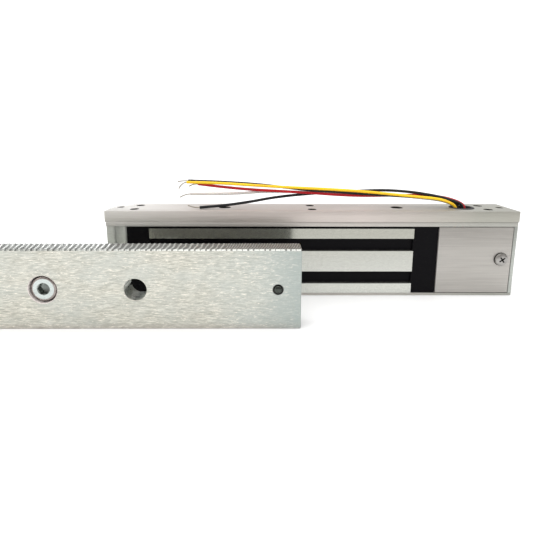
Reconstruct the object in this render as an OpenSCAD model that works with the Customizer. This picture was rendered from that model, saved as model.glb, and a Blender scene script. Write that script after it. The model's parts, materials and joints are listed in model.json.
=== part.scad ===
// Surface-mounted magnetic door lock: the electromagnet with its header plate,
// and the armature plate that the magnet pulls on.
// Origin: middle of the header plate's top face. +X along the lock, +Y to the back, +Z up.

/* [Magnet body] */
// Length of the header plate
lock_l = 228; // [220:1:250]
// Depth of the lock, front to back
lock_d = 25; // [25:0.5:30]
// Height of the lock with its header plate
lock_h = 48.5; // [48.5:0.5:52]
// Thickness of the header plate
header_t = 6.1; // [6:0.1:7]
// How far the header plate stands past each end of the body
header_over = 0.5; // [0.4:0.05:1]
// Wall of the extruded housing, top
wall_top = 2.5; // [2:0.1:3]
// Wall of the extruded housing, bottom
wall_bottom = 1.4; // [1.2:0.1:1.6]
// Wall of the extruded housing, back
wall_back = 2; // [1.5:0.1:2.5]

/* [Electromagnet] */
// Length of the laminated core
core_l = 146; // [140:1:148]
// Left end of the core, from the left end of the header plate
core_x = 24; // [23:0.5:25]
// Height of an outer leg of the E-shaped core
leg_outer = 5.6; // [5:0.1:5.7]
// Height of the middle leg
leg_middle = 11.8; // [11:0.1:12]
// Height of each winding window
window_h = 7.1; // [7:0.1:7.2]
// How far the pole faces stand proud of the housing
pole_proud = 0.3; // [0.2:0.1:0.5]
// How deep the potting lies behind the housing's front edge
potting_sunk = 0.9; // [0.5:0.1:1.2]
// How deep the channels between the poles are
channel_sunk = 2.2; // [1.5:0.1:2.5]

/* [Wiring compartment] */
// Left edge of the cover, from the left end of the header plate
cover_x = 184; // [184:0.5:185]
// Thickness of the cover
cover_t = 1.2; // [1:0.1:1.5]
// Diameter of the cable hole in the header plate
cable_d = 12.5; // [11.5:0.5:13]
// Diameter of a connecting lead
lead_d = 1.6; // [1.4:0.1:1.6]
// Diameter of a lead's bare strands
strand_d = 0.8; // [0.6:0.1:1]

/* [Header holes] */
// Distance between the end screw holes along the lock
end_hole_dx = 198.8; // [194:0.2:200]
// Distance between the end and middle screw holes across the lock
end_hole_dy = 11.9; // [11:0.1:15]
// Diameter of an end or middle screw hole
small_hole_d = 5; // [4:0.1:5.5]
// Distance between the two large header screw holes
header_hole_dx = 99; // [90:1:110]
// Diameter of a large header screw hole
header_hole_d = 6.8; // [5.5:0.1:7]

/* [Armature] */
// Length of the armature plate
plate_l = 196; // [180:1:200]
// Height of the armature plate
plate_h = 38.5; // [37:0.5:40]
// Thickness of the armature plate
plate_t = 11; // [10:0.5:12]
// Middle of the plate, from the left end of the header plate
plate_mid = 6.6; // [0:0.1:15]
// Distance of the plate's contact face in front of the housing
plate_out = 40; // [39.5:0.1:55]
// Distance between the bolt hole and the free hole
hole_dx = 42.5; // [40:0.5:45]
// Diameter of the free hole
free_hole_d = 10.4; // [9:0.1:11]
// Distance of each ejector pin from its end of the plate
ejector_in = 10.8; // [9:0.1:14]
// Distance between the guide pins on the back of the plate
guide_dx = 130; // [110:1:140]

/* [Hidden] */
$fn = 48;
// Overshoot of a cut past the face that it opens
cut = 0.5;

// --- the magnet's own levels, measured from the origin ---
left = -lock_l / 2;
front = -lock_d / 2;
back = lock_d / 2;
base = -lock_h;
body_top = -header_t;
body_l = lock_l - 2 * header_over;
body_left = left + header_over;
body_right = -body_left;
room_low = base + wall_bottom;
room_high = body_top - wall_top;
room_h = room_high - room_low;
room_back = back - wall_back;

// --- end blocks ---
left_block_l = 11;
left_block_right = body_left + left_block_l;
left_block_sunk = 0.8;
rib_proud = 0.5;
end_wall_t = 1.95;
right_block_x = 100;
right_block_sunk = cover_t + 0.3;
fixing_in = 5;
fixing_d = 3.8;
fixing_hole_d = 4;
fixing_head_d = 6.5;
fixing_head_h = 4;
fixing_head_low = base + 0.5;
fixing_top = -2.5;
head_room_d = 7;
fixing_hex = 3;

// --- core and coil ---
core_left = left + core_x;
core_right = core_left + core_l;
core_low = base + 1.6;
core_h = 2 * leg_outer + leg_middle + 2 * window_h;
core_back = 8;
yoke_t = 5.5;
yoke_front = core_back - yoke_t;
pole_y = front - pole_proud;
middle_low = core_low + leg_outer + window_h;
bobbin_wall = 0.8;
bobbin_gap = 0.1;
bobbin_front = front + 3;
bobbin_back = yoke_front - 0.2;
flange_t = 0.8;
winding_t = window_h - bobbin_wall - bobbin_gap - 0.3;
coil_r = winding_t + bobbin_wall;

// --- wiring compartment ---
wall_x = 69.7;
carrier_wall_t = 1.5;
potting_left = left_block_right;
board_x = 72.2;
board_w = 26.2;
board_low = -45;
board_h = 32;
board_t = 1.6;
board_front = 5.3;
carrier_back_t = 1.4;
boss_d = 5;
board_screw_x = [75.5, 95.4];
board_screw_z = [-15.2, -41.8];
board_screw_d = 2.2;
board_screw_head_d = 4;
board_screw_head_h = 1.5;
relay_size = [10.2, 9.5, 15.6];
relay_at = [78, -4.2, -41];
terminal_size = [12.4, 8.5, 8.6];
terminal_at = [79, -3.2, -24];
varistor_d = 7;
varistor_t = 4;
varistor_at = [93, -31];
sensor_size = [4, 1.6, 3.2];
sensor_at = [73, -31];
coil_lead_d = 1.2;
coil_lead_y = board_front - coil_lead_d / 2;
coil_lead_z = [-20, -18];
coil_lead_end = 77;

// --- cable outlet and leads ---
cable_x = 87;
grommet_bore = 10.4;
grommet_lip_d = 13.8;
grommet_lip_t = 0.5;
lead_start = -6;
lead_sides = 8;

// --- cover ---
cover_gap = 0.3;
cover_left = left + cover_x;
cover_right = body_right - end_wall_t - cover_gap;
cover_screw_x = 105.6;
cover_screw_z = base + 21.4;
cover_screw_d = 3;
cover_screw_hole_d = 3.2;
cover_screw_l = 7.5;
cover_head_d = 7.6;
cover_head_h = 1.9;

// --- armature, in its own frame: contact face at y = 0, middle at x = z = 0 ---
plate_x = left + plate_mid;
plate_y = front - plate_out;
plate_z = base + plate_h / 2;
plate_chamfer = 0.5;
bolt_x = -hole_dx / 2;
counterbore_d = 13.2;
counterbore_t = 6.9;
bolt_hole_d = 9;
bolt_d = 8;
bolt_head_d = 12;
bolt_head_h = 5.8;
bolt_head_in = 0.8;
bolt_l = 22;
thread_d = 7.2;
bolt_hex = 5;
washer_t = 1.5;
washer_d = 20;
washer_hole_d = 9;
rubber_t = 4;
rubber_d = 19;
rubber_hole_d = 8.2;
ejector_x = plate_l / 2 - ejector_in;
ejector_d = 4;
ejector_mouth_d = 5;
ejector_mouth_t = 0.6;
ejector_proud = 0.8;
ejector_front_t = 3;
ejector_flange_d = 6.4;
ejector_flange_t = 1.2;
ejector_bore_d = 7;
ejector_plug_t = 2;
spring_wire = 0.7;
spring_r = 2.3;
spring_turns = 3;
spring_steps = 14;
guide_d = 6;
guide_free_d = 5.4;
guide_in = 6;
guide_out = 9;

// --- routes of the free leads, from inside the cable hole to the stripped end ---
route_yellow = [
    [83.6, -1, -6], [83.6, -1, -3], [82.6, -1, 0.9], [80, -1.3, 2.7],
    [75.4, -1.5, 4.5], [70.1, -1.5, 5.5], [62.8, -1.2, 6.2], [51.7, -0.7, 7.2],
    [34.3, 0, 8.8], [16.8, 0.6, 10], [-2.4, 1.2, 10.9], [-20.6, 1.8, 11.7],
    [-35.5, 2.4, 12.5], [-47.8, 3, 13.2], [-59.4, 3.6, 13.6], [-71.8, 4.6, 13.8]
];
route_black_upper = [
    [85.4, 0.3, -6], [85.4, 0.3, -3], [85.1, 0.7, 1], [82.6, 1.3, 2.6],
    [78.1, 1.5, 4.2], [72.5, 1.4, 5.2], [64.3, 1.3, 5.8], [53.2, 1.3, 6.3],
    [41.7, 1.5, 7], [29, 1.9, 7.7], [14.2, 2.4, 8.7], [-1, 3.1, 9.6],
    [-14.9, 3.8, 11], [-30.5, 4.4, 12.6], [-49.7, 5.1, 13.8], [-71.1, 6.2, 14.5]
];
route_red = [
    [89.4, 1.2, -6], [89.4, 1.2, -3], [88.9, 1.5, 0.7], [87, 2.1, 2.4],
    [83.4, 2.6, 3.9], [76.6, 3, 5.6], [66.1, 3.1, 6.6], [52.6, 3.1, 6.6],
    [40.4, 3.2, 6.4], [29.4, 3.4, 6.3], [17.4, 3.5, 6.7], [-0.9, 3.5, 7.9],
    [-20.7, 3.5, 9], [-35.5, 3.9, 9.8], [-50.3, 4.8, 11], [-65.5, 5.9, 12.6]
];
route_white = [
    [84.6, 1.9, -6], [84.6, 1.9, -3], [83.9, 2.2, -0.1], [81.8, 2.8, 1.7],
    [78.2, 3.4, 3], [72.9, 3.7, 4], [65.3, 3.9, 4.8], [53.2, 4.8, 5.9],
    [35.6, 5, 6.7], [17.7, 5.2, 7.2], [-0.7, 5.2, 7.9], [-14.8, 5.3, 8.3],
    [-28.2, 5.2, 8.2], [-41.1, 4.8, 7.4], [-55, 4.4, 7.1], [-69.8, 4.2, 7]
];
route_black_lower = [
    [87.6, -0.2, -6], [87.6, -0.2, -3], [86.9, -0.3, 1.3], [84.4, -0.4, 3],
    [79.9, -0.3, 4.5], [74.7, -0.1, 6], [65.7, 0.7, 7.7], [54.5, 2, 9],
    [42.2, 4, 9.4], [30.5, 5.9, 8.8], [16, 7, 7.9], [-0.5, 6.9, 6.8],
    [-20.1, 4.4, 5.1], [-35.1, 0.6, 3.1], [-49.1, -3.2, 1.7], [-63.1, -5.5, 0.8]
];
// Far ends of the bare strands
strand_end_yellow = [-76.6, 4.7, 10];
strand_end_black_upper = [-77.3, 6.6, 13.9];
strand_end_red = [-70.9, 6.5, 11.2];
strand_end_white = [-76, 4.4, 5];
strand_end_black_lower = [-69.6, -5.9, 2.1];

// ---------------------------------------------------------------- sweeping

function unit(v) = v / norm(v);
function last(list) = list[len(list) - 1];
// Direction of the route at point i
function heading(route, i) =
    unit(route[min(i + 1, len(route) - 1)] - route[max(i - 1, 0)]);
// A ring of points about route[i], square to the route
function ring(route, i, r, sides) =
    let (
        along = heading(route, i),
        side = unit(cross(along, [0.05, 1, 0.03])),
        over = cross(along, side)
    )
    [for (k = [0:sides - 1])
        route[i] + r * (cos(360 * k / sides) * side + sin(360 * k / sides) * over)];

module tube(route, r, sides) {
    n = len(route);
    points = [for (i = [0:n - 1]) each ring(route, i, r, sides)];
    walls = [for (i = [0:n - 2], k = [0:sides - 1])
        let (m = (k + 1) % sides)
        [i * sides + k, i * sides + m, (i + 1) * sides + m, (i + 1) * sides + k]];
    start = [for (k = [0:sides - 1]) sides - 1 - k];
    end = [for (k = [0:sides - 1]) (n - 1) * sides + k];
    polyhedron(points, concat([start], walls, [end]));
}

// A round rod from p to q
module rod(p, q, r) {
    d = q - p;
    translate(p)
        rotate([0, acos(d[2] / norm(d)), atan2(d[1], d[0])])
            cylinder(h = norm(d), r = r, $fn = 24);
}

// ---------------------------------------------------------------- small helpers

// A cylinder along +Y from y0 to y1
module along_y(x, z, y0, y1, d) {
    translate([x, y0, z])
        rotate([-90, 0, 0])
            cylinder(h = y1 - y0, d = d);
}

// A six-sided hole along +Y
module hex_y(x, z, y0, y1, across) {
    translate([x, y0, z])
        rotate([-90, 0, 0])
            cylinder(h = y1 - y0, d = across / cos(30), $fn = 6);
}

// A box between two corners
module between(low, high) {
    translate(low)
        cube(high - low);
}

// ---------------------------------------------------------------- magnet body

module header_plate() {
    color([0.78, 0.76, 0.73])
    difference() {
        translate([left, front, -header_t])
            cube([lock_l, lock_d, header_t]);
        for (x = [left + fixing_in, -left - fixing_in])
            translate([x, 0, -header_t - cut])
                cylinder(h = header_t + 2 * cut, d = fixing_hole_d);
        for (x = [-end_hole_dx / 2, 0, end_hole_dx / 2], y = [-end_hole_dy / 2, end_hole_dy / 2])
            translate([x, y, -header_t - cut])
                cylinder(h = header_t + 2 * cut, d = small_hole_d);
        for (x = [-header_hole_dx / 2, header_hole_dx / 2])
            translate([x, 0, -header_t - cut])
                cylinder(h = header_t + 2 * cut, d = header_hole_d);
        translate([cable_x, 0, -header_t - cut])
            cylinder(h = header_t + 2 * cut, d = cable_d);
    }
}

module housing() {
    color([0.77, 0.75, 0.72])
    difference() {
        translate([body_left, front, base])
            cube([body_l, lock_d, lock_h - header_t]);
        translate([body_left - cut, front - cut, room_low])
            cube([body_l + 2 * cut, room_back - front + cut, room_h]);
        for (x = [left + fixing_in, -left - fixing_in]) {
            translate([x, 0, base - cut])
                cylinder(h = wall_bottom + 2 * cut, d = head_room_d);
            translate([x, 0, room_high - cut])
                cylinder(h = wall_top + 2 * cut, d = fixing_hole_d);
        }
        translate([cable_x, 0, room_high - cut])
            cylinder(h = wall_top + 2 * cut, d = cable_d);
    }
}

module fixing_bores(x) {
    translate([x, 0, room_low - cut])
        cylinder(h = room_h + 2 * cut, d = fixing_hole_d);
    translate([x, 0, room_low - cut])
        cylinder(h = fixing_head_low + fixing_head_h - room_low + cut, d = head_room_d);
}

module left_end_block() {
    face = front + left_block_sunk;
    color([0.74, 0.72, 0.69])
    difference() {
        union() {
            between([body_left, face, room_low], [left_block_right, room_back, room_high]);
            between([body_left + 3.2, face - rib_proud, room_low],
                [body_left + 4.8, face + cut, room_high]);
            between([left_block_right - 1.4, face - rib_proud, room_low],
                [left_block_right - 0.3, face + cut, room_high]);
        }
        fixing_bores(left + fixing_in);
    }
}

module right_end_block() {
    color([0.74, 0.72, 0.69])
    difference() {
        union() {
            between([right_block_x, front + right_block_sunk, room_low],
                [body_right, room_back, room_high]);
            between([body_right - end_wall_t, front, room_low],
                [body_right, room_back, room_high]);
        }
        fixing_bores(-left - fixing_in);
        along_y(cover_screw_x, cover_screw_z, front, front + cover_screw_l + 1.5,
            cover_screw_hole_d);
    }
}

module fixing_screws() {
    color([0.3, 0.3, 0.32])
    for (x = [left + fixing_in, -left - fixing_in])
        difference() {
            union() {
                translate([x, 0, fixing_head_low])
                    cylinder(h = fixing_head_h, d = fixing_head_d);
                translate([x, 0, fixing_head_low])
                    cylinder(h = fixing_top - fixing_head_low, d = fixing_d);
            }
            translate([x, 0, fixing_head_low - cut])
                cylinder(h = 2 + cut, d = fixing_hex / cos(30), $fn = 6);
        }
}

// ---------------------------------------------------------------- electromagnet

module core_laminations() {
    color([0.72, 0.71, 0.68])
    difference() {
        between([core_left, pole_y, core_low], [core_right, core_back, core_low + core_h]);
        for (z = [core_low + leg_outer, middle_low + leg_middle])
            between([core_left - cut, pole_y - cut, z],
                [core_right + cut, yoke_front, z + window_h]);
    }
}

// A ring round the middle leg, from y0 to y1, gap off the leg and t thick
module around_leg(y0, y1, gap, t) {
    far = gap + t;
    difference() {
        between([core_left - far, y0, middle_low - far],
            [core_right + far, y1, middle_low + leg_middle + far]);
        between([core_left - gap, y0 - cut, middle_low - gap],
            [core_right + gap, y1 + cut, middle_low + leg_middle + gap]);
    }
}

module coil_bobbin() {
    color([0.2, 0.2, 0.22])
    union() {
        around_leg(bobbin_front, bobbin_back, bobbin_gap, bobbin_wall);
        around_leg(bobbin_front, bobbin_front + flange_t, bobbin_gap, coil_r);
        around_leg(bobbin_back - flange_t, bobbin_back, bobbin_gap, coil_r);
    }
}

module coil_winding() {
    color([0.72, 0.42, 0.2])
    around_leg(bobbin_front + flange_t, bobbin_back - flange_t,
        bobbin_gap + bobbin_wall, winding_t);
}

// The room that the coil takes up in the potting
module coil_room() {
    far = bobbin_gap + coil_r;
    between([core_left - far, bobbin_front, middle_low - far],
        [core_right + far, bobbin_back, middle_low + leg_middle + far]);
}

module coil_lead_rods(x0) {
    for (z = coil_lead_z)
        translate([x0, coil_lead_y, z])
            rotate([0, 90, 0])
                cylinder(h = coil_lead_end - x0, d = coil_lead_d);
}

module epoxy_potting() {
    color([0.05, 0.05, 0.055])
    difference() {
        between([potting_left, front + potting_sunk, room_low], [wall_x, room_back, room_high]);
        between([core_left, pole_y - cut, core_low], [core_right, core_back, core_low + core_h]);
        coil_room();
        coil_lead_rods(wall_x - 2);
    }
    color([0.05, 0.05, 0.055])
    for (z = [core_low + leg_outer, middle_low + leg_middle])
        between([core_left, front + channel_sunk, z],
            [core_right, bobbin_front, z + window_h]);
}

// ---------------------------------------------------------------- wiring compartment

module compartment_wall() {
    color([0.12, 0.12, 0.13])
    difference() {
        union() {
            between([wall_x, front + right_block_sunk, room_low],
                [wall_x + carrier_wall_t, room_back, room_high]);
            between([wall_x, room_back - carrier_back_t, room_low + 1],
                [right_block_x - 0.5, room_back, room_high - 1]);
            for (x = board_screw_x, z = board_screw_z)
                along_y(x, z, board_front + board_t, room_back, boss_d);
        }
        for (x = board_screw_x, z = board_screw_z)
            along_y(x, z, board_front, room_back - 0.6, board_screw_d);
        coil_lead_rods(wall_x - 2);
    }
}

module circuit_board() {
    color([0.05, 0.35, 0.2])
    difference() {
        translate([board_x, board_front, board_low])
            cube([board_w, board_t, board_h]);
        for (x = board_screw_x, z = board_screw_z)
            along_y(x, z, board_front - cut, board_front + board_t + cut, board_screw_d + 0.4);
    }
}

module board_screws() {
    color([0.75, 0.75, 0.72])
    for (x = board_screw_x, z = board_screw_z)
        difference() {
            union() {
                along_y(x, z, board_front - board_screw_head_h, board_front,
                    board_screw_head_d);
                along_y(x, z, board_front - board_screw_head_h, board_front + 4,
                    board_screw_d - 0.1);
            }
            translate([x - 1.2, board_front - board_screw_head_h - cut, z - 0.25])
                cube([2.4, 0.6 + cut, 0.5]);
            translate([x - 0.25, board_front - board_screw_head_h - cut, z - 1.2])
                cube([0.5, 0.6 + cut, 2.4]);
        }
}

module relay() {
    color([0.9, 0.9, 0.86])
    translate(relay_at)
        cube(relay_size);
}

module terminal_block() {
    pitch = terminal_size[0] / 5;
    color([0.1, 0.4, 0.2])
    difference() {
        translate(terminal_at)
            cube(terminal_size);
        for (n = [0:4])
            along_y(terminal_at[0] + pitch * (n + 0.5), terminal_at[2] + 3,
                terminal_at[1] - cut, terminal_at[1] + 3, 1.8);
    }
}

module varistor() {
    color([0.1, 0.3, 0.7])
    along_y(varistor_at[0], varistor_at[1], board_front - varistor_t, board_front, varistor_d);
}

module bond_sensor() {
    color([0.08, 0.08, 0.08])
    translate([sensor_at[0], board_front - sensor_size[1], sensor_at[1]])
        cube(sensor_size);
}

module coil_leads() {
    color([0.75, 0.1, 0.08])
    coil_lead_rods(wall_x - 2);
}

module inner_leads() {
    color([0.6, 0.55, 0.3])
    for (route = [route_yellow, route_black_upper, route_red, route_white, route_black_lower])
        translate([route[0][0], route[0][1], terminal_at[2] + terminal_size[2]])
            cylinder(h = lead_start - terminal_at[2] - terminal_size[2], d = lead_d, $fn = 24);
}

module cable_grommet() {
    color([0.08, 0.08, 0.08])
    translate([cable_x, 0, 0])
        rotate_extrude()
            polygon([
                [grommet_bore / 2, -header_t], [cable_d / 2, -header_t], [cable_d / 2, 0],
                [grommet_lip_d / 2, 0], [grommet_lip_d / 2 - 0.3, grommet_lip_t * 0.7],
                [grommet_bore / 2 + 0.6, grommet_lip_t], [grommet_bore / 2, 0.2]
            ]);
}

module lead_yellow() {
    color([0.95, 0.75, 0.05])
    tube(route_yellow, lead_d / 2, lead_sides);
}

module lead_black_upper() {
    color([0.03, 0.03, 0.03])
    tube(route_black_upper, lead_d / 2, lead_sides);
}

module lead_red() {
    color([0.7, 0.02, 0.05])
    tube(route_red, lead_d / 2, lead_sides);
}

module lead_white() {
    color([0.9, 0.89, 0.87])
    tube(route_white, lead_d / 2, lead_sides);
}

module lead_black_lower() {
    color([0.03, 0.03, 0.03])
    tube(route_black_lower, lead_d / 2, lead_sides);
}

module strands(route, far) {
    color([0.7, 0.68, 0.64])
    rod(last(route), far, strand_d / 2);
}

module strands_yellow() {
    strands(route_yellow, strand_end_yellow);
}

module strands_black_upper() {
    strands(route_black_upper, strand_end_black_upper);
}

module strands_red() {
    strands(route_red, strand_end_red);
}

module strands_white() {
    strands(route_white, strand_end_white);
}

module strands_black_lower() {
    strands(route_black_lower, strand_end_black_lower);
}

// ---------------------------------------------------------------- cover

module cover_plate() {
    color([0.8, 0.79, 0.77])
    difference() {
        between([cover_left, front, room_low + cover_gap],
            [cover_right, front + cover_t, room_high - cover_gap]);
        along_y(cover_screw_x, cover_screw_z, front - cut, front + cover_t + cut,
            cover_screw_hole_d);
    }
}

module cover_screw() {
    face = front - cover_head_h;
    color([0.6, 0.6, 0.6])
    difference() {
        union() {
            along_y(cover_screw_x, cover_screw_z, face, front, cover_head_d);
            along_y(cover_screw_x, cover_screw_z, face, front + cover_screw_l, cover_screw_d);
        }
        for (turn = [0, 90])
            translate([cover_screw_x, face - cut, cover_screw_z])
                rotate([0, 45 + turn, 0])
                    translate([-2.2, 0, -0.45])
                        cube([4.4, 1 + cut, 0.9]);
    }
}

// ---------------------------------------------------------------- armature

module at_plate() {
    translate([plate_x, plate_y, plate_z])
        children();
}

module washer(y0, t, d, hole) {
    difference() {
        along_y(bolt_x, 0, y0, y0 + t, d);
        along_y(bolt_x, 0, y0 - cut, y0 + t + cut, hole);
    }
}

module inner_washer() {
    color([0.75, 0.74, 0.7])
    at_plate()
        washer(plate_t, washer_t, washer_d, washer_hole_d);
}

module rubber_washer() {
    color([0.07, 0.07, 0.07])
    at_plate()
        washer(plate_t + washer_t, rubber_t, rubber_d, rubber_hole_d);
}

module outer_washer() {
    color([0.75, 0.74, 0.7])
    at_plate()
        washer(plate_t + washer_t + rubber_t, washer_t, washer_d, rubber_hole_d);
}

module armature_bolt() {
    under_head = bolt_head_in + bolt_head_h;
    stack_end = plate_t + 2 * washer_t + rubber_t;
    color([0.62, 0.62, 0.6])
    at_plate()
        difference() {
            union() {
                along_y(bolt_x, 0, bolt_head_in, under_head, bolt_head_d);
                along_y(bolt_x, 0, bolt_head_in, stack_end + 0.4, bolt_d);
                along_y(bolt_x, 0, bolt_head_in, under_head + bolt_l, thread_d);
            }
            hex_y(bolt_x, 0, bolt_head_in - cut, bolt_head_in + 3.5, bolt_hex);
        }
}

// The plate's section, with its long edges chamfered
module plate_section() {
    c = plate_chamfer;
    h = plate_h / 2;
    polygon([
        [c, -h], [plate_t - c, -h], [plate_t, c - h], [plate_t, h - c],
        [plate_t - c, h], [c, h], [0, h - c], [0, c - h]
    ]);
}

module armature_plate() {
    ejector_back = plate_t - ejector_front_t;
    color([0.72, 0.71, 0.69])
    at_plate()
        difference() {
            translate([-plate_l / 2, 0, 0])
                rotate([90, 0, 90])
                    linear_extrude(plate_l)
                        plate_section();
            along_y(bolt_x, 0, -cut, plate_t + cut, bolt_hole_d);
            along_y(bolt_x, 0, -cut, counterbore_t, counterbore_d);
            along_y(-bolt_x, 0, -cut, plate_t + cut, free_hole_d);
            for (x = [-ejector_x, ejector_x]) {
                along_y(x, 0, -cut, plate_t + cut, ejector_d + 0.1);
                along_y(x, 0, -cut, ejector_mouth_t, ejector_mouth_d);
                along_y(x, 0, plate_t - ejector_back, plate_t + cut, ejector_bore_d);
            }
            for (x = [-guide_dx / 2, guide_dx / 2])
                along_y(x, 0, plate_t - guide_in, plate_t + cut, guide_d);
        }
}

module guide_pins() {
    color([0.66, 0.66, 0.64])
    at_plate()
        for (x = [-guide_dx / 2, guide_dx / 2])
            translate([x, plate_t - guide_in, 0])
                rotate([-90, 0, 0])
                    rotate_extrude()
                        polygon([
                            [0, 0], [guide_d / 2, 0], [guide_d / 2, guide_in],
                            [guide_free_d / 2, guide_in],
                            [guide_free_d / 2, guide_in + guide_out - 1],
                            [guide_free_d / 2 - 1, guide_in + guide_out],
                            [0, guide_in + guide_out]
                        ]);
}

// Stepped pin with a slightly domed tip
module ejector_pin(x) {
    tip = -ejector_proud;
    shoulder = ejector_front_t + 0.05;
    r = ejector_d / 2;
    color([0.55, 0.53, 0.5])
    at_plate()
        translate([x, 0, 0])
            rotate([-90, 0, 0])
                rotate_extrude()
                    polygon([
                        [0, tip], [r * 0.5, tip + 0.12], [r * 0.85, tip + 0.42],
                        [r, tip + 0.9], [r, shoulder], [ejector_flange_d / 2, shoulder],
                        [ejector_flange_d / 2, shoulder + ejector_flange_t],
                        [0, shoulder + ejector_flange_t]
                    ]);
}

module ejector_pin_left() {
    ejector_pin(-ejector_x);
}

module ejector_pin_right() {
    ejector_pin(ejector_x);
}

// Coil spring from y0 to y1 along the pin's axis
module ejector_spring(x) {
    y0 = ejector_front_t + ejector_flange_t + spring_wire / 2 + 0.1;
    y1 = plate_t - ejector_plug_t - spring_wire / 2 - 0.05;
    n = spring_turns * spring_steps;
    route = [for (i = [0:n])
        let (a = 360 * i / spring_steps)
        [x + spring_r * cos(a), y0 + (y1 - y0) * i / n, spring_r * sin(a)]];
    color([0.7, 0.7, 0.7])
    at_plate()
        tube(route, spring_wire / 2, 6);
}

module ejector_spring_left() {
    ejector_spring(-ejector_x);
}

module ejector_spring_right() {
    ejector_spring(ejector_x);
}

module ejector_plugs() {
    color([0.8, 0.65, 0.3])
    at_plate()
        for (x = [-ejector_x, ejector_x])
            difference() {
                along_y(x, 0, plate_t - ejector_plug_t, plate_t, ejector_bore_d);
                translate([x - 2.2, plate_t - 0.8, -0.4])
                    cube([4.4, 0.8 + cut, 0.8]);
            }
}

header_plate();
housing();
left_end_block();
right_end_block();
fixing_screws();
core_laminations();
coil_bobbin();
coil_winding();
epoxy_potting();
compartment_wall();
circuit_board();
board_screws();
relay();
terminal_block();
varistor();
bond_sensor();
coil_leads();
inner_leads();
cable_grommet();
lead_yellow();
lead_black_upper();
lead_red();
lead_white();
lead_black_lower();
strands_yellow();
strands_black_upper();
strands_red();
strands_white();
strands_black_lower();
cover_plate();
cover_screw();
rubber_washer();
armature_bolt();
outer_washer();
inner_washer();
armature_plate();
guide_pins();
ejector_pin_left();
ejector_pin_right();
ejector_spring_left();
ejector_spring_right();
ejector_plugs();
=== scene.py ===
import json
import math

import bmesh
import bpy
from mathutils import Matrix, Vector


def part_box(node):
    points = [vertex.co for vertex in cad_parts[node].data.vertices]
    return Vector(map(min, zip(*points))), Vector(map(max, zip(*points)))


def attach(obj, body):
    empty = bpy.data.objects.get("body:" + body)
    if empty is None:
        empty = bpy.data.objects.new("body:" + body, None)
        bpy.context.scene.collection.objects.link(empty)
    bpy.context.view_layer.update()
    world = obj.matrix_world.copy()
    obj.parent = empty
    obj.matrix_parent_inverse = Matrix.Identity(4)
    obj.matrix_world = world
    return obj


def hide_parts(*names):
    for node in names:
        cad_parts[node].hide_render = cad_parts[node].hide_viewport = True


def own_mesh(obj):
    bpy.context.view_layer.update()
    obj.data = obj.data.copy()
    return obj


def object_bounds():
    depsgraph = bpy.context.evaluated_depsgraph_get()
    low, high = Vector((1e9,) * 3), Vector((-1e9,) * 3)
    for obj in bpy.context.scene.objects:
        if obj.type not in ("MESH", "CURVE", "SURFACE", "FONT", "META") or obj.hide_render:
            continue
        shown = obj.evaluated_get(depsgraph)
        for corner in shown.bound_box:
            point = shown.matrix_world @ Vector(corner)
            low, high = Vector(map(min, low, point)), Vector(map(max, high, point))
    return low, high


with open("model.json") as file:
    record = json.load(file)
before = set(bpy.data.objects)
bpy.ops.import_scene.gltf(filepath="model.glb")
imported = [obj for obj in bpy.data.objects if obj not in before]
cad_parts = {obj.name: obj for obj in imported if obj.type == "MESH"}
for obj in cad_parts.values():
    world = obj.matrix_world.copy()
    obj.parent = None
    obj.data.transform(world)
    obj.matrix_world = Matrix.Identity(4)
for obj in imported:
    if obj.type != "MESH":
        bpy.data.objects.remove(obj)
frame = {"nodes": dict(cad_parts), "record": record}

MM = 0.001
MAGNET_L = 228
SHARP = 30  # degrees between faces from which an edge stays sharp
CAD_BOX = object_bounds()

# ---- camera

CAMERA_AT = [c * MM for c in (-25.90, -232.57, 42.25)]
PITCH, YAW, ROLL = 0.1800, 0.0100, 0.0034  # radians: down, towards +X, and the right side raised
forward = Vector((math.sin(YAW) * math.cos(PITCH), math.cos(YAW) * math.cos(PITCH), -math.sin(PITCH)))
level = Vector((math.cos(YAW), -math.sin(YAW), 0))
upward = level.cross(forward)
right = math.cos(ROLL) * level + math.sin(ROLL) * upward
upward = -math.sin(ROLL) * level + math.cos(ROLL) * upward
camera = bpy.data.objects.new("camera", bpy.data.cameras.new("camera"))
bpy.context.scene.collection.objects.link(camera)
camera.matrix_world = Matrix((
    (right.x, upward.x, -forward.x, CAMERA_AT[0]),
    (right.y, upward.y, -forward.y, CAMERA_AT[1]),
    (right.z, upward.z, -forward.z, CAMERA_AT[2]),
    (0, 0, 0, 1)))
camera.data.lens = 27.39
camera.data.shift_y = -0.1161
camera.data.sensor_width = 36
camera.data.clip_start = 0.01
bpy.context.scene.camera = camera
bpy.context.scene.view_settings.view_transform = "Standard"

# ---- materials


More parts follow.
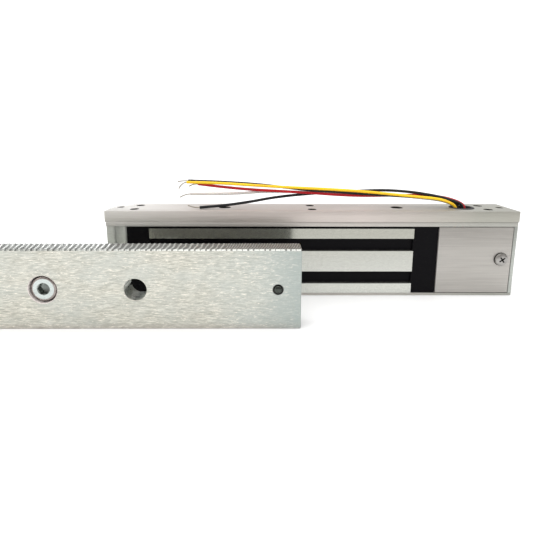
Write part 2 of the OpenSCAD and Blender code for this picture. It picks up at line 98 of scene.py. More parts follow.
class Shader:
    """A Principled material whose inputs are built up from object-space noise."""

    def __init__(self, name, metallic, **fixed):
        self.mat = bpy.data.materials.new(name)
        self.mat.use_nodes = True
        self.tree = self.mat.node_tree
        self.bsdf = self.tree.nodes["Principled BSDF"]
        self.bsdf.inputs["Metallic"].default_value = metallic
        for key, value in fixed.items():
            self.bsdf.inputs[key.replace("_", " ")].default_value = value
        self.coord = self.tree.nodes.new("ShaderNodeTexCoord")

    def link(self, a, b):
        """Joins an output to an input."""
        self.tree.links.new(a, b)

    def noise(self, per_mm, detail=3.0, rough=0.55, warp=0.0, turn=(0, 0, 0)):
        """Noise with so many features a millimetre along X, Y and Z."""
        mapping = self.tree.nodes.new("ShaderNodeMapping")
        mapping.inputs["Rotation"].default_value = turn
        mapping.inputs["Scale"].default_value = [f / MM for f in per_mm]
        self.link(self.coord.outputs["Object"], mapping.inputs["Vector"])
        tex = self.tree.nodes.new("ShaderNodeTexNoise")
        tex.inputs["Scale"].default_value = 1.0
        tex.inputs["Detail"].default_value = detail
        tex.inputs["Roughness"].default_value = rough
        tex.inputs["Distortion"].default_value = warp
        self.link(mapping.outputs["Vector"], tex.inputs["Vector"])
        return tex.outputs["Fac"]

    def along(self, axis):
        """Place along one of the object's axes, metres."""
        apart = self.tree.nodes.new("ShaderNodeSeparateXYZ")
        self.link(self.coord.outputs["Object"], apart.inputs[0])
        return apart.outputs[axis]

    def ramp(self, fac, stops):
        """Colours placed along fac."""
        node = self.tree.nodes.new("ShaderNodeValToRGB")
        elements = node.color_ramp.elements
        while len(elements) < len(stops):
            elements.new(0.5)
        for element, (place, colour) in zip(elements, stops):
            element.position = place
            element.color = (*colour, 1)
        self.link(fac, node.inputs["Fac"])
        return node.outputs["Color"]

    def mix(self, fac, a, b, kind="MIX"):
        """Two colours mixed; each input is a socket or a value."""
        node = self.tree.nodes.new("ShaderNodeMix")
        node.data_type = "RGBA"
        node.blend_type = kind
        for socket, value in ((node.inputs["Factor"], fac), (node.inputs[6], a), (node.inputs[7], b)):
            if isinstance(value, bpy.types.NodeSocket):
                self.link(value, socket)
            elif isinstance(value, (int, float)):
                socket.default_value = value
            else:
                socket.default_value = (*value, 1)
        return node.outputs[2]

    def span(self, fac, low, high, start=0.3, end=0.7):
        """Goes from low to high as fac goes from start to end."""
        node = self.tree.nodes.new("ShaderNodeMapRange")
        node.inputs["From Min"].default_value = start
        node.inputs["From Max"].default_value = end
        node.inputs["To Min"].default_value = low
        node.inputs["To Max"].default_value = high
        self.link(fac, node.inputs["Value"])
        return node.outputs["Result"]

    def bump(self, height, strength, distance, under=None):
        """Bump of a height in mm, over the normal under it."""
        node = self.tree.nodes.new("ShaderNodeBump")
        node.inputs["Strength"].default_value = strength
        node.inputs["Distance"].default_value = distance * MM
        self.link(height, node.inputs["Height"])
        if under is not None:
            self.link(under, node.inputs["Normal"])
        return node.outputs["Normal"]

    def done(self, colour, rough, normal=None):
        """Joins the finished inputs and gives the material."""
        self.link(colour, self.bsdf.inputs["Base Color"])
        self.link(rough, self.bsdf.inputs["Roughness"])
        if normal is not None:
            self.link(normal, self.bsdf.inputs["Normal"])
        return self.mat


def brushed(name, dark, light, rough, along=0.25, across=3.5, bump=0.12, tint=None, metallic=1.0, ends=None):
    """Metal drawn or brushed along X, with faint clouds of tone, short scratches and painted light at either end: a
    painted reflection where an end tone is above 1, painted shade where it is below.
    """
    s = Shader(name, metallic)
    streak = s.noise((along, across, across), 4, 0.6)
    clouds = s.noise((0.05, 0.05, 0.08), 2, 0.5)
    scratch = s.noise((0.6, 9, 9), 2, 0.7, 0.3, (0, 0.03, 0))
    colour = s.ramp(streak, [(0.3, dark), (0.7, light)])
    colour = s.mix(s.span(clouds, 0.0, 0.5), colour, tint or [c * 0.93 for c in light])
    colour = s.mix(s.span(scratch, 0.0, 0.25, 0.62, 0.75), colour, [min(1, c * 1.12) for c in light])
    # painted light: the colour is multiplied by a tone for either end, a painted reflection above 1 and painted
    # shade below 1
    if ends:
        place = s.span(s.along("X"), 0.0, 1.0, -MAGNET_L / 2 * MM, MAGNET_L / 2 * MM)
        stops = [(0.0, ends[0]), (0.35, (1, 1, 1)), (0.62, (1, 1, 1)), (0.9, ends[1])]
        colour = s.mix(1.0, colour, s.ramp(place, stops), "MULTIPLY")
    normal = s.bump(streak, bump, 0.05)
    return s.done(colour, s.span(streak, rough - 0.06, rough + 0.08), normal)


def plastic(name, dark, light, rough, grain=6.0, bump=0.08, coat=0.0):
    """Moulded plastic, rubber or glazed ceramic with a fine grain."""
    s = Shader(name, 0.0, Coat_Weight=coat)
    fine = s.noise((grain, grain, grain), 3, 0.6)
    clouds = s.noise((0.12, 0.12, 0.12), 2, 0.5)
    colour = s.mix(s.span(clouds, 0.0, 1.0), dark, light)
    return s.done(colour, s.span(fine, rough - 0.05, rough + 0.07), s.bump(fine, bump, 0.03))


def plate_steel():
    """Zinc-plated steel, belt-ground along X: short overlapping strokes and warm and cool patches, with painted
    shade along the bottom edge.
    """
    s = Shader("plate_zinc", 1.0)
    stroke = s.noise((0.24, 2.1, 2.1), 5, 0.68, 0.25)
    fine = s.noise((0.5, 6, 6), 3, 0.65)
    warm = s.noise((0.05, 0.05, 0.09), 3, 0.6)
    speck = s.noise((0.42, 2.2, 2.2), 4, 0.75, 0.4)
    colour = s.ramp(stroke, [(0.36, (0.36, 0.36, 0.31)), (0.5, (0.56, 0.555, 0.49)), (0.64, (0.82, 0.81, 0.73))])
    colour = s.mix(s.span(warm, 0.0, 0.45, 0.35, 0.65), colour, (0.50, 0.545, 0.525))
    colour = s.mix(s.span(s.along("X"), 0.0, 0.55, -0.055, -0.02), colour, (0.44, 0.50, 0.49))
    # painted shade: darker and browner along the bottom 3 mm, where the plate meets the floor
    colour = s.mix(s.span(s.along("Z"), 0.45, 0.0, -0.0485, -0.0455), colour, (0.40, 0.33, 0.30))
    colour = s.mix(s.span(speck, 0.0, 0.9, 0.55, 0.66), colour, (1.0, 0.95, 0.85))
    colour = s.mix(s.span(s.along("X"), 0.0, 0.6, -0.03, -0.008), colour, (0.28, 0.35, 0.35))
    colour = s.mix(s.span(fine, 0.0, 0.45), colour, (0.36, 0.35, 0.31))
    rough = s.span(stroke, 0.30, 0.46)
    normal = s.bump(stroke, 0.55, 0.08)
    return s.done(colour, rough, s.bump(fine, 0.3, 0.03, normal))


def cut_steel(name, dark, light, patch, rough):
    """The plate's sawn and milled edges, coarser than its faces."""
    s = Shader(name, 1.0)
    grain = s.noise((2.2, 0.9, 0.9), 4, 0.65)
    clouds = s.noise((0.08, 0.2, 0.2), 2, 0.5)
    colour = s.ramp(grain, [(0.3, dark), (0.7, light)])
    colour = s.mix(s.span(clouds, 0.0, 0.6), colour, patch)
    colour = s.mix(s.span(s.along("X"), 0.75, 0.0, -0.125, -0.065), colour, [c * 0.7 for c in dark])
    return s.done(colour, s.span(grain, rough, rough + 0.16), s.bump(grain, 0.3, 0.05))


def pole_steel():
    """Ground pole faces: stacked laminations, with painted shade darkening them towards the header above."""
    s = Shader("pole_steel", 0.85)
    sheets = s.noise((2.0, 0.02, 0.02), 1, 0.5)
    grind = s.noise((0.5, 1.1, 1.1), 4, 0.65, 0.2)
    clouds = s.noise((0.06, 0.06, 0.12), 2, 0.5)
    colour = s.ramp(grind, [(0.3, (0.55, 0.56, 0.52)), (0.7, (0.70, 0.705, 0.655))])
    colour = s.mix(s.span(sheets, 0.0, 0.16), colour, (0.50, 0.51, 0.48))
    colour = s.mix(s.span(clouds, 0.0, 0.3), colour, (0.62, 0.64, 0.60))
    # painted shade: darker towards the header, which shades the poles' upper part
    header_shade = s.ramp(s.span(s.along("Z"), 0.0, 1.0, -0.045, -0.013),
                     [(0.0, (1.0, 1.0, 1.0)), (0.5, (0.75, 0.745, 0.74)), (1.0, (0.57, 0.56, 0.53))])
    colour = s.mix(1.0, colour, header_shade, "MULTIPLY")
    normal = s.bump(grind, 0.12, 0.02)
    return s.done(colour, s.span(grind, 0.14, 0.22), s.bump(sheets, 0.05, 0.01, normal))


def potting():
    """Cast black resin: a dull sheen, gently uneven, with a little dust."""
    s = Shader("potting_epoxy", 0.0, Specular_IOR_Level=0.07)
    slow = s.noise((0.12, 0.12, 0.3), 2, 0.5)
    dust = s.noise((5, 5, 5), 4, 0.8)
    colour = s.mix(s.span(dust, 0.0, 0.35, 0.6, 0.8), (0.0025, 0.0022, 0.003), (0.014, 0.014, 0.016))
    normal = s.bump(slow, 0.35, 0.6)
    return s.done(colour, s.span(dust, 0.36, 0.54), s.bump(dust, 0.08, 0.02, normal))


def board_green():
    """Solder mask over tracks."""
    s = Shader("board_green", 0.0, Coat_Weight=0.3)
    tracks = s.noise((0.5, 0.02, 0.5), 0, 0.0, 1.2)
    grain = s.noise((4, 4, 4), 3, 0.6)
    colour = s.ramp(tracks, [(0.44, (0.015, 0.13, 0.055)), (0.47, (0.03, 0.24, 0.10)), (0.53, (0.03, 0.24, 0.10)),
                             (0.56, (0.015, 0.13, 0.055))])
    return s.done(colour, s.span(grain, 0.25, 0.4), s.bump(tracks, 0.25, 0.05))


def winding():
    """Rows of enamelled wire."""
    s = Shader("winding_copper", 1.0)
    rows = s.noise((0.02, 2.6, 2.6), 1, 0.4)
    tone = s.noise((0.15, 0.4, 0.4), 2, 0.5)
    colour = s.mix(s.span(rows, 0.0, 0.8), (0.42, 0.17, 0.06), (0.74, 0.36, 0.15))
    colour = s.mix(s.span(tone, 0.0, 0.3), colour, (0.55, 0.22, 0.08))
    return s.done(colour, s.span(rows, 0.3, 0.45), s.bump(rows, 0.5, 0.2))


def pvc(name, base, shade, light):
    """Soft PVC insulation: slight waxy sheen, tone wandering along the lead."""
    s = Shader(name, 0.0, Specular_IOR_Level=0.3)
    s.bsdf.inputs["Subsurface Weight"].default_value = 0.08
    s.bsdf.inputs["Subsurface Scale"].default_value = 0.4 * MM
    slow = s.noise((0.1, 0.3, 0.3), 2, 0.5)
    fine = s.noise((3, 8, 8), 3, 0.65)
    colour = s.mix(s.span(slow, 0.0, 0.7), base, shade)
    colour = s.mix(s.span(fine, 0.0, 0.3, 0.5, 0.8), colour, light)
    return s.done(colour, s.span(fine, 0.34, 0.5), s.bump(fine, 0.12, 0.02))


# header and housing: a painted reflection at the left end and painted shade at the right; cover: painted shade at
# its right end
MATS = {
    "header_alu": brushed("header_alu", (0.48, 0.43, 0.40), (0.57, 0.52, 0.485), 0.42, 0.05, 2.2,
                          tint=(0.55, 0.485, 0.455), metallic=0.55, ends=((1.02, 1.10, 1.12), (0.65, 0.71, 0.67))),
    "housing_alu": brushed("housing_alu", (0.42, 0.40, 0.37), (0.51, 0.48, 0.45), 0.40, 0.05, 2.2,
                           tint=(0.49, 0.45, 0.42), metallic=0.6, ends=((0.98, 1.03, 1.05), (0.76, 0.81, 0.79))),
    "end_alu": brushed("end_alu", (0.34, 0.355, 0.33), (0.46, 0.48, 0.45), 0.40, 0.3, 2.0, metallic=0.8),
    "cover_alu": brushed("cover_alu", (0.35, 0.335, 0.315), (0.48, 0.46, 0.435), 0.36, 0.04, 2.6, bump=0.2,
                         metallic=0.6, ends=((1, 1, 1), (0.91, 0.91, 0.90))),
    "black_steel": brushed("black_steel", (0.06, 0.06, 0.065), (0.11, 0.11, 0.12), 0.42, 1, 2),
    "pole_steel": pole_steel(),
    "bobbin_plastic": plastic("bobbin_plastic", (0.02, 0.02, 0.022), (0.035, 0.035, 0.04), 0.5),
    "winding_copper": winding(),
    "potting_epoxy": potting(),
    "wall_plastic": plastic("wall_plastic", (0.012, 0.012, 0.014), (0.025, 0.025, 0.028), 0.48),
    "board_green": board_green(),
    "small_steel": brushed("small_steel", (0.5, 0.5, 0.49), (0.75, 0.75, 0.73), 0.3, 1.5, 3),
    "relay_plastic": plastic("relay_plastic", (0.70, 0.69, 0.64), (0.80, 0.79, 0.75), 0.42),
    "terminal_plastic": plastic("terminal_plastic", (0.02, 0.20, 0.08), (0.03, 0.27, 0.11), 0.4),
    "varistor_ceramic": plastic("varistor_ceramic", (0.02, 0.07, 0.28), (0.03, 0.11, 0.38), 0.3, 3, 0.15, 0.3),
    "sensor_plastic": plastic("sensor_plastic", (0.012, 0.012, 0.012), (0.03, 0.03, 0.03), 0.4),
    "coil_lead_pvc": pvc("coil_lead_pvc", (0.45, 0.02, 0.02), (0.35, 0.01, 0.01), (0.6, 0.1, 0.08)),
    "inner_lead_pvc": pvc("inner_lead_pvc", (0.5, 0.4, 0.1), (0.4, 0.3, 0.08), (0.6, 0.5, 0.2)),
    "grommet_rubber": plastic("grommet_rubber", (0.012, 0.012, 0.012), (0.028, 0.028, 0.028), 0.6, 5, 0.2),
    "yellow_pvc": pvc("yellow_pvc", (0.90, 0.60, 0.015), (0.80, 0.42, 0.01), (0.95, 0.75, 0.15)),
    "black_pvc": pvc("black_pvc", (0.008, 0.008, 0.009), (0.014, 0.014, 0.015), (0.04, 0.04, 0.042)),
    "red_pvc": pvc("red_pvc", (0.50, 0.006, 0.012), (0.33, 0.004, 0.01), (0.65, 0.06, 0.06)),
    "white_pvc": pvc("white_pvc", (0.66, 0.62, 0.58), (0.52, 0.47, 0.44), (0.80, 0.78, 0.75)),
    "tinned_copper": brushed("tinned_copper", (0.40, 0.36, 0.30), (0.66, 0.62, 0.56), 0.32, 1, 4),
    "cover_screw_steel": brushed("cover_screw_steel", (0.22, 0.21, 0.20), (0.42, 0.41, 0.39), 0.30, 0.5, 0.8),
    "washer_rubber": plastic("washer_rubber", (0.012, 0.012, 0.012), (0.03, 0.03, 0.03), 0.65, 4, 0.25),
    "bolt_steel": brushed("bolt_steel", (0.43, 0.475, 0.46), (0.61, 0.66, 0.64), 0.26, 0.3, 0.5, bump=0.08),
    "washer_zinc": brushed("washer_zinc", (0.52, 0.52, 0.50), (0.74, 0.74, 0.71), 0.3, 1.0, 2.5),
    "plate_zinc": plate_steel(),
    "pin_steel": brushed("pin_steel", (0.5, 0.5, 0.48), (0.7, 0.7, 0.68), 0.25, 1.0, 2.5),
    "ejector_steel": brushed("ejector_steel", (0.035, 0.04, 0.035), (0.09, 0.10, 0.09), 0.2, 0.3, 0.8),
    "spring_steel": brushed("spring_steel", (0.35, 0.35, 0.35), (0.6, 0.6, 0.6), 0.3, 2, 2),
    "plug_brass": brushed("plug_brass", (0.55, 0.40, 0.14), (0.75, 0.58, 0.26), 0.3, 1.5, 2.5),
}
EDGE = cut_steel("plate_cut_edge", (0.13, 0.14, 0.13), (0.28, 0.29, 0.275), (0.20, 0.175, 0.16), 0.30)
# painted highlight: a lit copy of the cut steel for the scallops' crests and the front top corner
CREST_HIGHLIGHT = cut_steel("plate_crest_painted_highlight", (0.48, 0.50, 0.47), (0.74, 0.75, 0.72), (0.56, 0.57, 0.54), 0.24)
# bare drilled steel, lightened far past its own tone as a painted highlight on the free hole's wall
HOLE_WALL_HIGHLIGHT = brushed("drilled_wall_painted_highlight", (0.62, 0.65, 0.62), (0.92, 0.95, 0.92), 0.30, 0.4, 0.4, bump=0.05)
# the counterbore wall's own reddish-brown tone, lightened as painted light against the shade it lies in
SUNK_PAINTED_LIGHT = brushed("counterbore_wall_painted_light", (0.58, 0.52, 0.49), (0.84, 0.78, 0.75), 0.34, 0.5, 0.5, metallic=0.2)
# painted shade on the bolt head's rounded rim and side, where the head sits in its counterbore
FLANK_SHADE = brushed("bolt_flank_painted_shade", (0.16, 0.14, 0.13), (0.42, 0.38, 0.36), 0.26, 0.8, 0.8)
# painted shade inside the bolt's hex socket
SOCKET_SHADE = brushed("socket_painted_shade", (0.16, 0.18, 0.165), (0.36, 0.39, 0.37), 0.3, 0.5, 0.6)
SHADE_STEEL = brushed("screw_recess", (0.025, 0.025, 0.025), (0.06, 0.06, 0.055), 0.4, 1, 2)
# painted shade: near-black walls for holes that lie in shade
BORE_SHADE = brushed("bore_painted_shade", (0.035, 0.035, 0.035), (0.09, 0.09, 0.085), 0.45, 2, 2)
SLOT_OF = {p["node"]: p["material_slot"] for p in frame["record"]["subparts"]}
BODY_OF = {n: b for b, ns in frame["record"]["behaviour"]["bodies"].items() for n in ns}

# ---- free leads

# Centre lines in millimetres, from inside the cable hole to the stripped end
ROUTES = {
    "yellow": [
        (83.6, -1, -6), (83.6, -1, -3), (82.6, -1, 0.9), (80, -1.3, 2.7),
        (75.4, -1.5, 4.5), (70.1, -1.5, 5.5), (62.8, -1.2, 6.2), (51.7, -0.7, 7.2),
        (34.3, 0, 8.8), (16.8, 0.6, 10), (-2.4, 1.2, 10.9), (-20.6, 1.8, 11.7),
        (-35.5, 2.4, 12.5), (-47.8, 3, 13.2), (-59.4, 3.6, 13.6), (-71.8, 4.6, 13.8)],
    "black_upper": [
        (85.4, 0.3, -6), (85.4, 0.3, -3), (85.1, 0.7, 1), (82.6, 1.3, 2.6),
        (78.1, 1.5, 4.2), (72.5, 1.4, 5.2), (64.3, 1.3, 5.8), (53.2, 1.3, 6.3),
        (41.7, 1.5, 7), (29, 1.9, 7.7), (14.2, 2.4, 8.7), (-1, 3.1, 9.6),
        (-14.9, 3.8, 11), (-30.5, 4.4, 12.6), (-49.7, 5.1, 13.8), (-71.1, 6.2, 14.5)],
    "red": [
        (89.4, 1.2, -6), (89.4, 1.2, -3), (88.9, 1.5, 0.7), (87, 2.1, 2.4),
        (83.4, 2.6, 3.9), (76.6, 3, 5.6), (66.1, 3.1, 6.6), (52.6, 3.1, 6.6),
        (40.4, 3.2, 6.4), (29.4, 3.4, 6.3), (17.4, 3.5, 6.7), (-0.9, 3.5, 7.9),
        (-20.7, 3.5, 9), (-35.5, 3.9, 9.8), (-50.3, 4.8, 11), (-65.5, 5.9, 12.6)],
    "white": [
        (84.6, 1.9, -6), (84.6, 1.9, -3), (83.9, 2.2, -0.1), (81.8, 2.8, 1.7),
        (78.2, 3.4, 3), (72.9, 3.7, 4), (65.3, 3.9, 4.8), (53.2, 4.8, 5.9),
        (35.6, 5, 6.7), (17.7, 5.2, 7.2), (-0.7, 5.2, 7.9), (-14.8, 5.3, 8.3),
        (-28.2, 5.2, 8.2), (-41.1, 4.8, 7.4), (-55, 4.4, 7.1), (-69.8, 4.2, 7)],
    "black_lower": [
        (87.6, -0.2, -6), (87.6, -0.2, -3), (86.9, -0.3, 1.3), (84.4, -0.4, 3),
        (79.9, -0.3, 4.5), (74.7, -0.1, 6), (65.7, 0.7, 7.7), (54.5, 2, 9),
        (42.2, 4, 9.4), (30.5, 5.9, 8.8), (16, 7, 7.9), (-0.5, 6.9, 6.8),
        (-20.1, 4.4, 5.1), (-35.1, 0.6, 3.1), (-49.1, -3.2, 1.7), (-63.1, -5.5, 0.8)],
}
TIPS = {
    "yellow": (-76.6, 4.7, 10), "black_upper": (-77.3, 6.6, 13.9), "red": (-70.9, 6.5, 11.2),
    "white": (-76, 4.4, 5), "black_lower": (-69.6, -5.9, 2.1),
}
LEAD_SLOT = {"yellow": "yellow_pvc", "black_upper": "black_pvc", "red": "red_pvc", "white": "white_pvc",
             "black_lower": "black_pvc"}
LEAD_R = 0.8
CABLE_X = 87


def shade(mesh, sharp):
    """Smooth shading, but flat on the large faces that stand square to an axis."""
    for face in mesh.polygons:
        square = max(abs(c) for c in face.normal) > 0.99999
        face.use_smooth = not (square and face.area > 2.5 * MM * MM)
    mesh.set_sharp_from_angle(angle=math.radians(sharp))


def add_mesh(name, bm, mats, body, nodes=(), sharp=SHARP):
    """A finished mesh piece in the row frame."""
    bmesh.ops.recalc_face_normals(bm, faces=bm.faces)
    mesh = bpy.data.meshes.new(name)
    bm.to_mesh(mesh)
    bm.free()
    for mat in mats:
        mesh.materials.append(mat)
    shade(mesh, sharp)
    obj = bpy.data.objects.new(name, mesh)
    bpy.context.scene.collection.objects.link(obj)
    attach(obj, body)
    if nodes:
        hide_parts(*nodes)
    return obj


def bridge(bm, a, b, mat=0):
    """Joins two rings of vertices with faces, and gives the faces; a ring of one vertex is a tip."""
    count = max(len(a), len(b))
    faces = []
    for k in range(count):
        m = (k + 1) % count
        if len(a) == 1:
            corners = (a[0], b[m], b[k])
        elif len(b) == 1:
            corners = (a[k], a[m], b[0])
        else:
            corners = (a[k], a[m], b[m], b[k])
        faces.append(bm.faces.new(corners))
        faces[-1].material_index = mat
    return faces


def sweep(bm, line, radius, sides, mat=0):
    """A closed tube of bm faces along points in millimetres."""
    line = [Vector(p) for p in line]
    count = len(line)
    rings = []
    side = None
    for i, p in enumerate(line):
        along = (line[min(i + 1, count - 1)] - line[max(i - 1, 0)]).normalized()
        if side is None:
            side = along.cross(Vector((0.05, 1, 0.03))).normalized()
        side = (side - along * side.dot(along)).normalized()
        over = along.cross(side)
        rings.append([bm.verts.new((p + radius * (math.cos(a) * side + math.sin(a) * over)) * MM)
                      for a in [2 * math.pi * k / sides for k in range(sides)]])
    for a, b in zip(rings, rings[1:]):
        bridge(bm, a, b, mat)
    bm.faces.new(rings[0][::-1]).material_index = mat
    bm.faces.new(rings[-1]).material_index = mat


def strands(colour):
    """Seven twisted tinned wires with a slight bow, fanning a little at the tip."""
    route = [Vector(p) for p in ROUTES[colour]]
    start, tip = route[-1], Vector(TIPS[colour])
    leave = (route[-1] - route[-2]).normalized()
    span = (tip - start).length
    middle = start + leave * span * 0.45
    start = start - leave * 0.6
    bm = bmesh.new()
    stations = 16
    for wire in range(7):
        line = []
        for i in range(stations + 1):
            t = i / stations
            centre = start.lerp(middle, t).lerp(middle.lerp(tip, t), t)
            along = ((middle - start).lerp(tip - middle, t)).normalized()
            side = along.cross(Vector((0, 1, 0.2))).normalized()
            over = along.cross(side)
            turn = 2 * math.pi * wire / 6 + 4.5 * t
            off = 0 if wire == 6 else 0.24 + 0.10 * max(0, t - 0.6)
            line.append(centre + off * (math.cos(turn) * side + math.sin(turn) * over))
        sweep(bm, line, 0.125, 6)
    return add_mesh("bare_" + colour, bm, [MATS["tinned_copper"]], "magnet",
                    ["strands_" + colour], 60)


for colour, route in ROUTES.items():
    curve = bpy.data.curves.new("wire_" + colour, "CURVE")
    curve.dimensions = "3D"
    curve.bevel_depth = LEAD_R * MM
    curve.bevel_resolution = 5
    curve.resolution_u = 8
    curve.use_fill_caps = True
    spline = curve.splines.new("BEZIER")
    spline.bezier_points.add(len(route) - 1)
    for point, place in zip(spline.bezier_points, route):
        point.co = Vector(place) * MM
        point.handle_left_type = point.handle_right_type = "AUTO"
    curve.materials.append(MATS[LEAD_SLOT[colour]])
    wire = bpy.data.objects.new("wire_" + colour, curve)
    bpy.context.scene.collection.objects.link(wire)
    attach(wire, "magnet")
    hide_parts("lead_" + colour)
    bare = strands(colour)

# ---- CAD nodes that show as they are

for node, obj in frame["nodes"].items():
    obj.data.materials.clear()
    obj.data.materials.append(MATS[SLOT_OF[node]])
    shade(obj.data, SHARP)

# ---- round, cut and drawn shapes


def lathe(bm, at, profile, sides=64, mat=0, axis="Y"):
    """Closed turned shape about a line along Y or Z through at; profile is (radius, height) pairs, mm."""
    def place(r, level, angle):
        across, up = r * math.cos(angle), r * math.sin(angle)
        offset = (across, level, up) if axis == "Y" else (across, up, level)
        return bm.verts.new((Vector(at) + Vector(offset)) * MM)

    rings = [[place(r, level, 2 * math.pi * k / sides) for k in range(sides if r > 1e-6 else 1)]
             for r, level in profile]
    for a, b in zip(rings, rings[1:]):
        bridge(bm, a, b, mat)


def disc(r, low, high, ease):
    """Lathe profile of a round bar with eased ends."""
    e = 0.3 * ease
    return [(0, low), (r - ease, low), (r - e, low + e), (r, low + ease), (r, high - ease), (r - e, high - e),
            (r - ease, high), (0, high)]


def carve(obj, cutter_bm):
    """Takes the cutter's shape out of obj, and leaves no modifier behind."""
    bmesh.ops.recalc_face_normals(cutter_bm, faces=cutter_bm.faces)
    mesh = bpy.data.meshes.new("cutter")
    cutter_bm.to_mesh(mesh)
    cutter_bm.free()
    cutter = bpy.data.objects.new("cutter", mesh)
    bpy.context.scene.collection.objects.link(cutter)
    tool = obj.modifiers.new("carve", "BOOLEAN")
    tool.operation = "DIFFERENCE"
    tool.solver = "EXACT"
    tool.object = cutter
    bpy.context.view_layer.update()
    graph = bpy.context.evaluated_depsgraph_get()
    final = bpy.data.meshes.new_from_object(obj.evaluated_get(graph))
    obj.modifiers.clear()
    obj.data = final
    shade(final, SHARP)
    bpy.data.objects.remove(cutter)


def paint_inside(obj, mat, low, high):
    """Gives mat to the faces whose middle lies inside the box from low to high, mm."""
    obj.data.materials.append(mat)
    for face in obj.data.polygons:
        if all(low[i] < face.center[i] / MM < high[i] for i in range(3)):
            face.material_index = len(obj.data.materials) - 1


def drawn(bm, outline, low, high, axis, ease):
    """A flat outline, listed counter-clockwise, drawn out along X or Z with rounded edges, mm."""
    count = len(outline)

    def ring(level, inset):
        verts = []
        for i in range(count):
            before, here, after = (Vector(outline[(i + d) % count]) for d in (-1, 0, 1))
            into, away = (here - before).normalized(), (after - here).normalized()
            inward = Vector((-into.y, into.x)) + Vector((-away.y, away.x))
            here = here + inward * inset
            for p in (here - into * ease, here + (away - into) * 0.29 * ease, here + away * ease):
                place = (level, p.x, p.y) if axis == "X" else (p.x, p.y, level)
                verts.append(bm.verts.new(Vector(place) * MM))
        return verts

    rings = [ring(low, ease), ring(low + 0.29 * ease, 0.29 * ease), ring(low + ease, 0), ring(high - ease, 0),
             ring(high - 0.29 * ease, 0.29 * ease), ring(high, ease)]
    for a, b in zip(rings, rings[1:]):
        bridge(bm, a, b)
    bm.faces.new(rings[0][::-1])
    bm.faces.new(rings[-1])


def node_box(node):
    """Low and high corners of a CAD node, mm."""
    return [[c / MM for c in corner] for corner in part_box(node)]


def piece(node, bm):
    """A mesh piece that stands for one CAD node."""
    return add_mesh(node + "_finished", bm, [MATS[SLOT_OF[node]]], BODY_OF[node], [node])


# ---- header, housing, end blocks, cover

FRONT_Y = -12.5
FIXING_X = (-109, 109)
CABLE_HOLE_R = 6.25
END_HOLE_X, END_HOLE_Y, END_HOLE_R = (-99.4, 0, 99.4), (-5.95, 5.95), 2.5
SCREW_HOLE_X, SCREW_HOLE_R = (-49.5, 49.5), 3.4
SCREW_X, SCREW_Z = 105.6, -27.1
FLOOR_T, ROOF_T, REAR_T = 1.4, 2.5, 2  # the housing's walls


def bore(bm, x, y, low, high, r, ease):
    """Cutter for an upright hole whose upper edge is eased."""
    lathe(bm, (x, y, 0), [(0, low - 1), (r, low - 1), (r, high - ease), (r + ease, high), (r + ease + 1, high + 1),
                          (0, high + 1)], 48, axis="Z")


def header_plate():
    """Flat bar with its three kinds of holes and the cable hole."""
    (x0, y0, z0), (x1, y1, z1) = node_box("header_plate")
    bm = bmesh.new()
    drawn(bm, [(y0, z0), (y1, z0), (y1, z1), (y0, z1)], x0, x1, "X", 0.22)
    obj = piece("header_plate", bm)
    cut = bmesh.new()
    for x in END_HOLE_X:
        for y in END_HOLE_Y:
            bore(cut, x, y, z0, z1, END_HOLE_R, 0.15)
    for x in SCREW_HOLE_X:
        bore(cut, x, 0, z0, z1, SCREW_HOLE_R, 0.2)
    for x in FIXING_X:
        bore(cut, x, 0, z0, z1, 2, 0.15)
    bore(cut, CABLE_X, 0, z0, z1, CABLE_HOLE_R, 0.05)
    carve(obj, cut)
    # painted shade on the walls of the header's holes
    paint_inside(obj, BORE_SHADE, (x0 + 0.6, y0 + 0.6, z0 + 0.01), (x1 - 0.6, y1 - 0.6, z1 - 0.16))


def housing():
    """Extrusion open at the front, with flanges over and under the recess."""
    (x0, y0, z0), (x1, y1, z1) = node_box("housing")
    low, high, rear = z0 + FLOOR_T, z1 - ROOF_T, y1 - REAR_T
    bm = bmesh.new()
    drawn(bm, [(y0, z0), (y1, z0), (y1, z1), (y0, z1), (y0, high), (rear, high), (rear, low), (y0, low)],
          x0, x1, "X", 0.25)
    obj = piece("housing", bm)
    cut = bmesh.new()
    for x in FIXING_X:
        lathe(cut, (x, 0, z0), [(0, -1), (4.5, -1), (3.5, 0), (3.5, 2.2), (0, 2.2)], 48, axis="Z")
        lathe(cut, (x, 0, high), [(0, -1), (2, -1), (2, 4), (0, 4)], 32, axis="Z")
    lathe(cut, (CABLE_X, 0, high), [(0, -1), (CABLE_HOLE_R, -1), (CABLE_HOLE_R, 4), (0, 4)], 48, axis="Z")
    carve(obj, cut)


def end_bores(obj, x, low, high):
    """Counterbored hole for a fixing screw."""
    cut = bmesh.new()
    lathe(cut, (x, 0, low), [(0, -1), (3.5, -1), (3.5, 3.1), (2, 3.1), (2, high - low + 1), (0, high - low + 1)], 48,
          axis="Z")
    carve(obj, cut)


def left_end_block():
    """Filler with two ribs down its front."""
    (x0, y0, z0), (x1, y1, z1) = node_box("left_end_block")
    face = y0 + 0.5
    bm = bmesh.new()
    drawn(bm, [(x0, face), (x0 + 3.2, face), (x0 + 3.2, y0), (x0 + 4.8, y0), (x0 + 4.8, face), (x1 - 1.4, face),
               (x1 - 1.4, y0), (x1 - 0.3, y0), (x1 - 0.3, face), (x1, face), (x1, y1), (x0, y1)], z0, z1, "Z", 0.12)
    end_bores(piece("left_end_block", bm), FIXING_X[0], z0, z1)


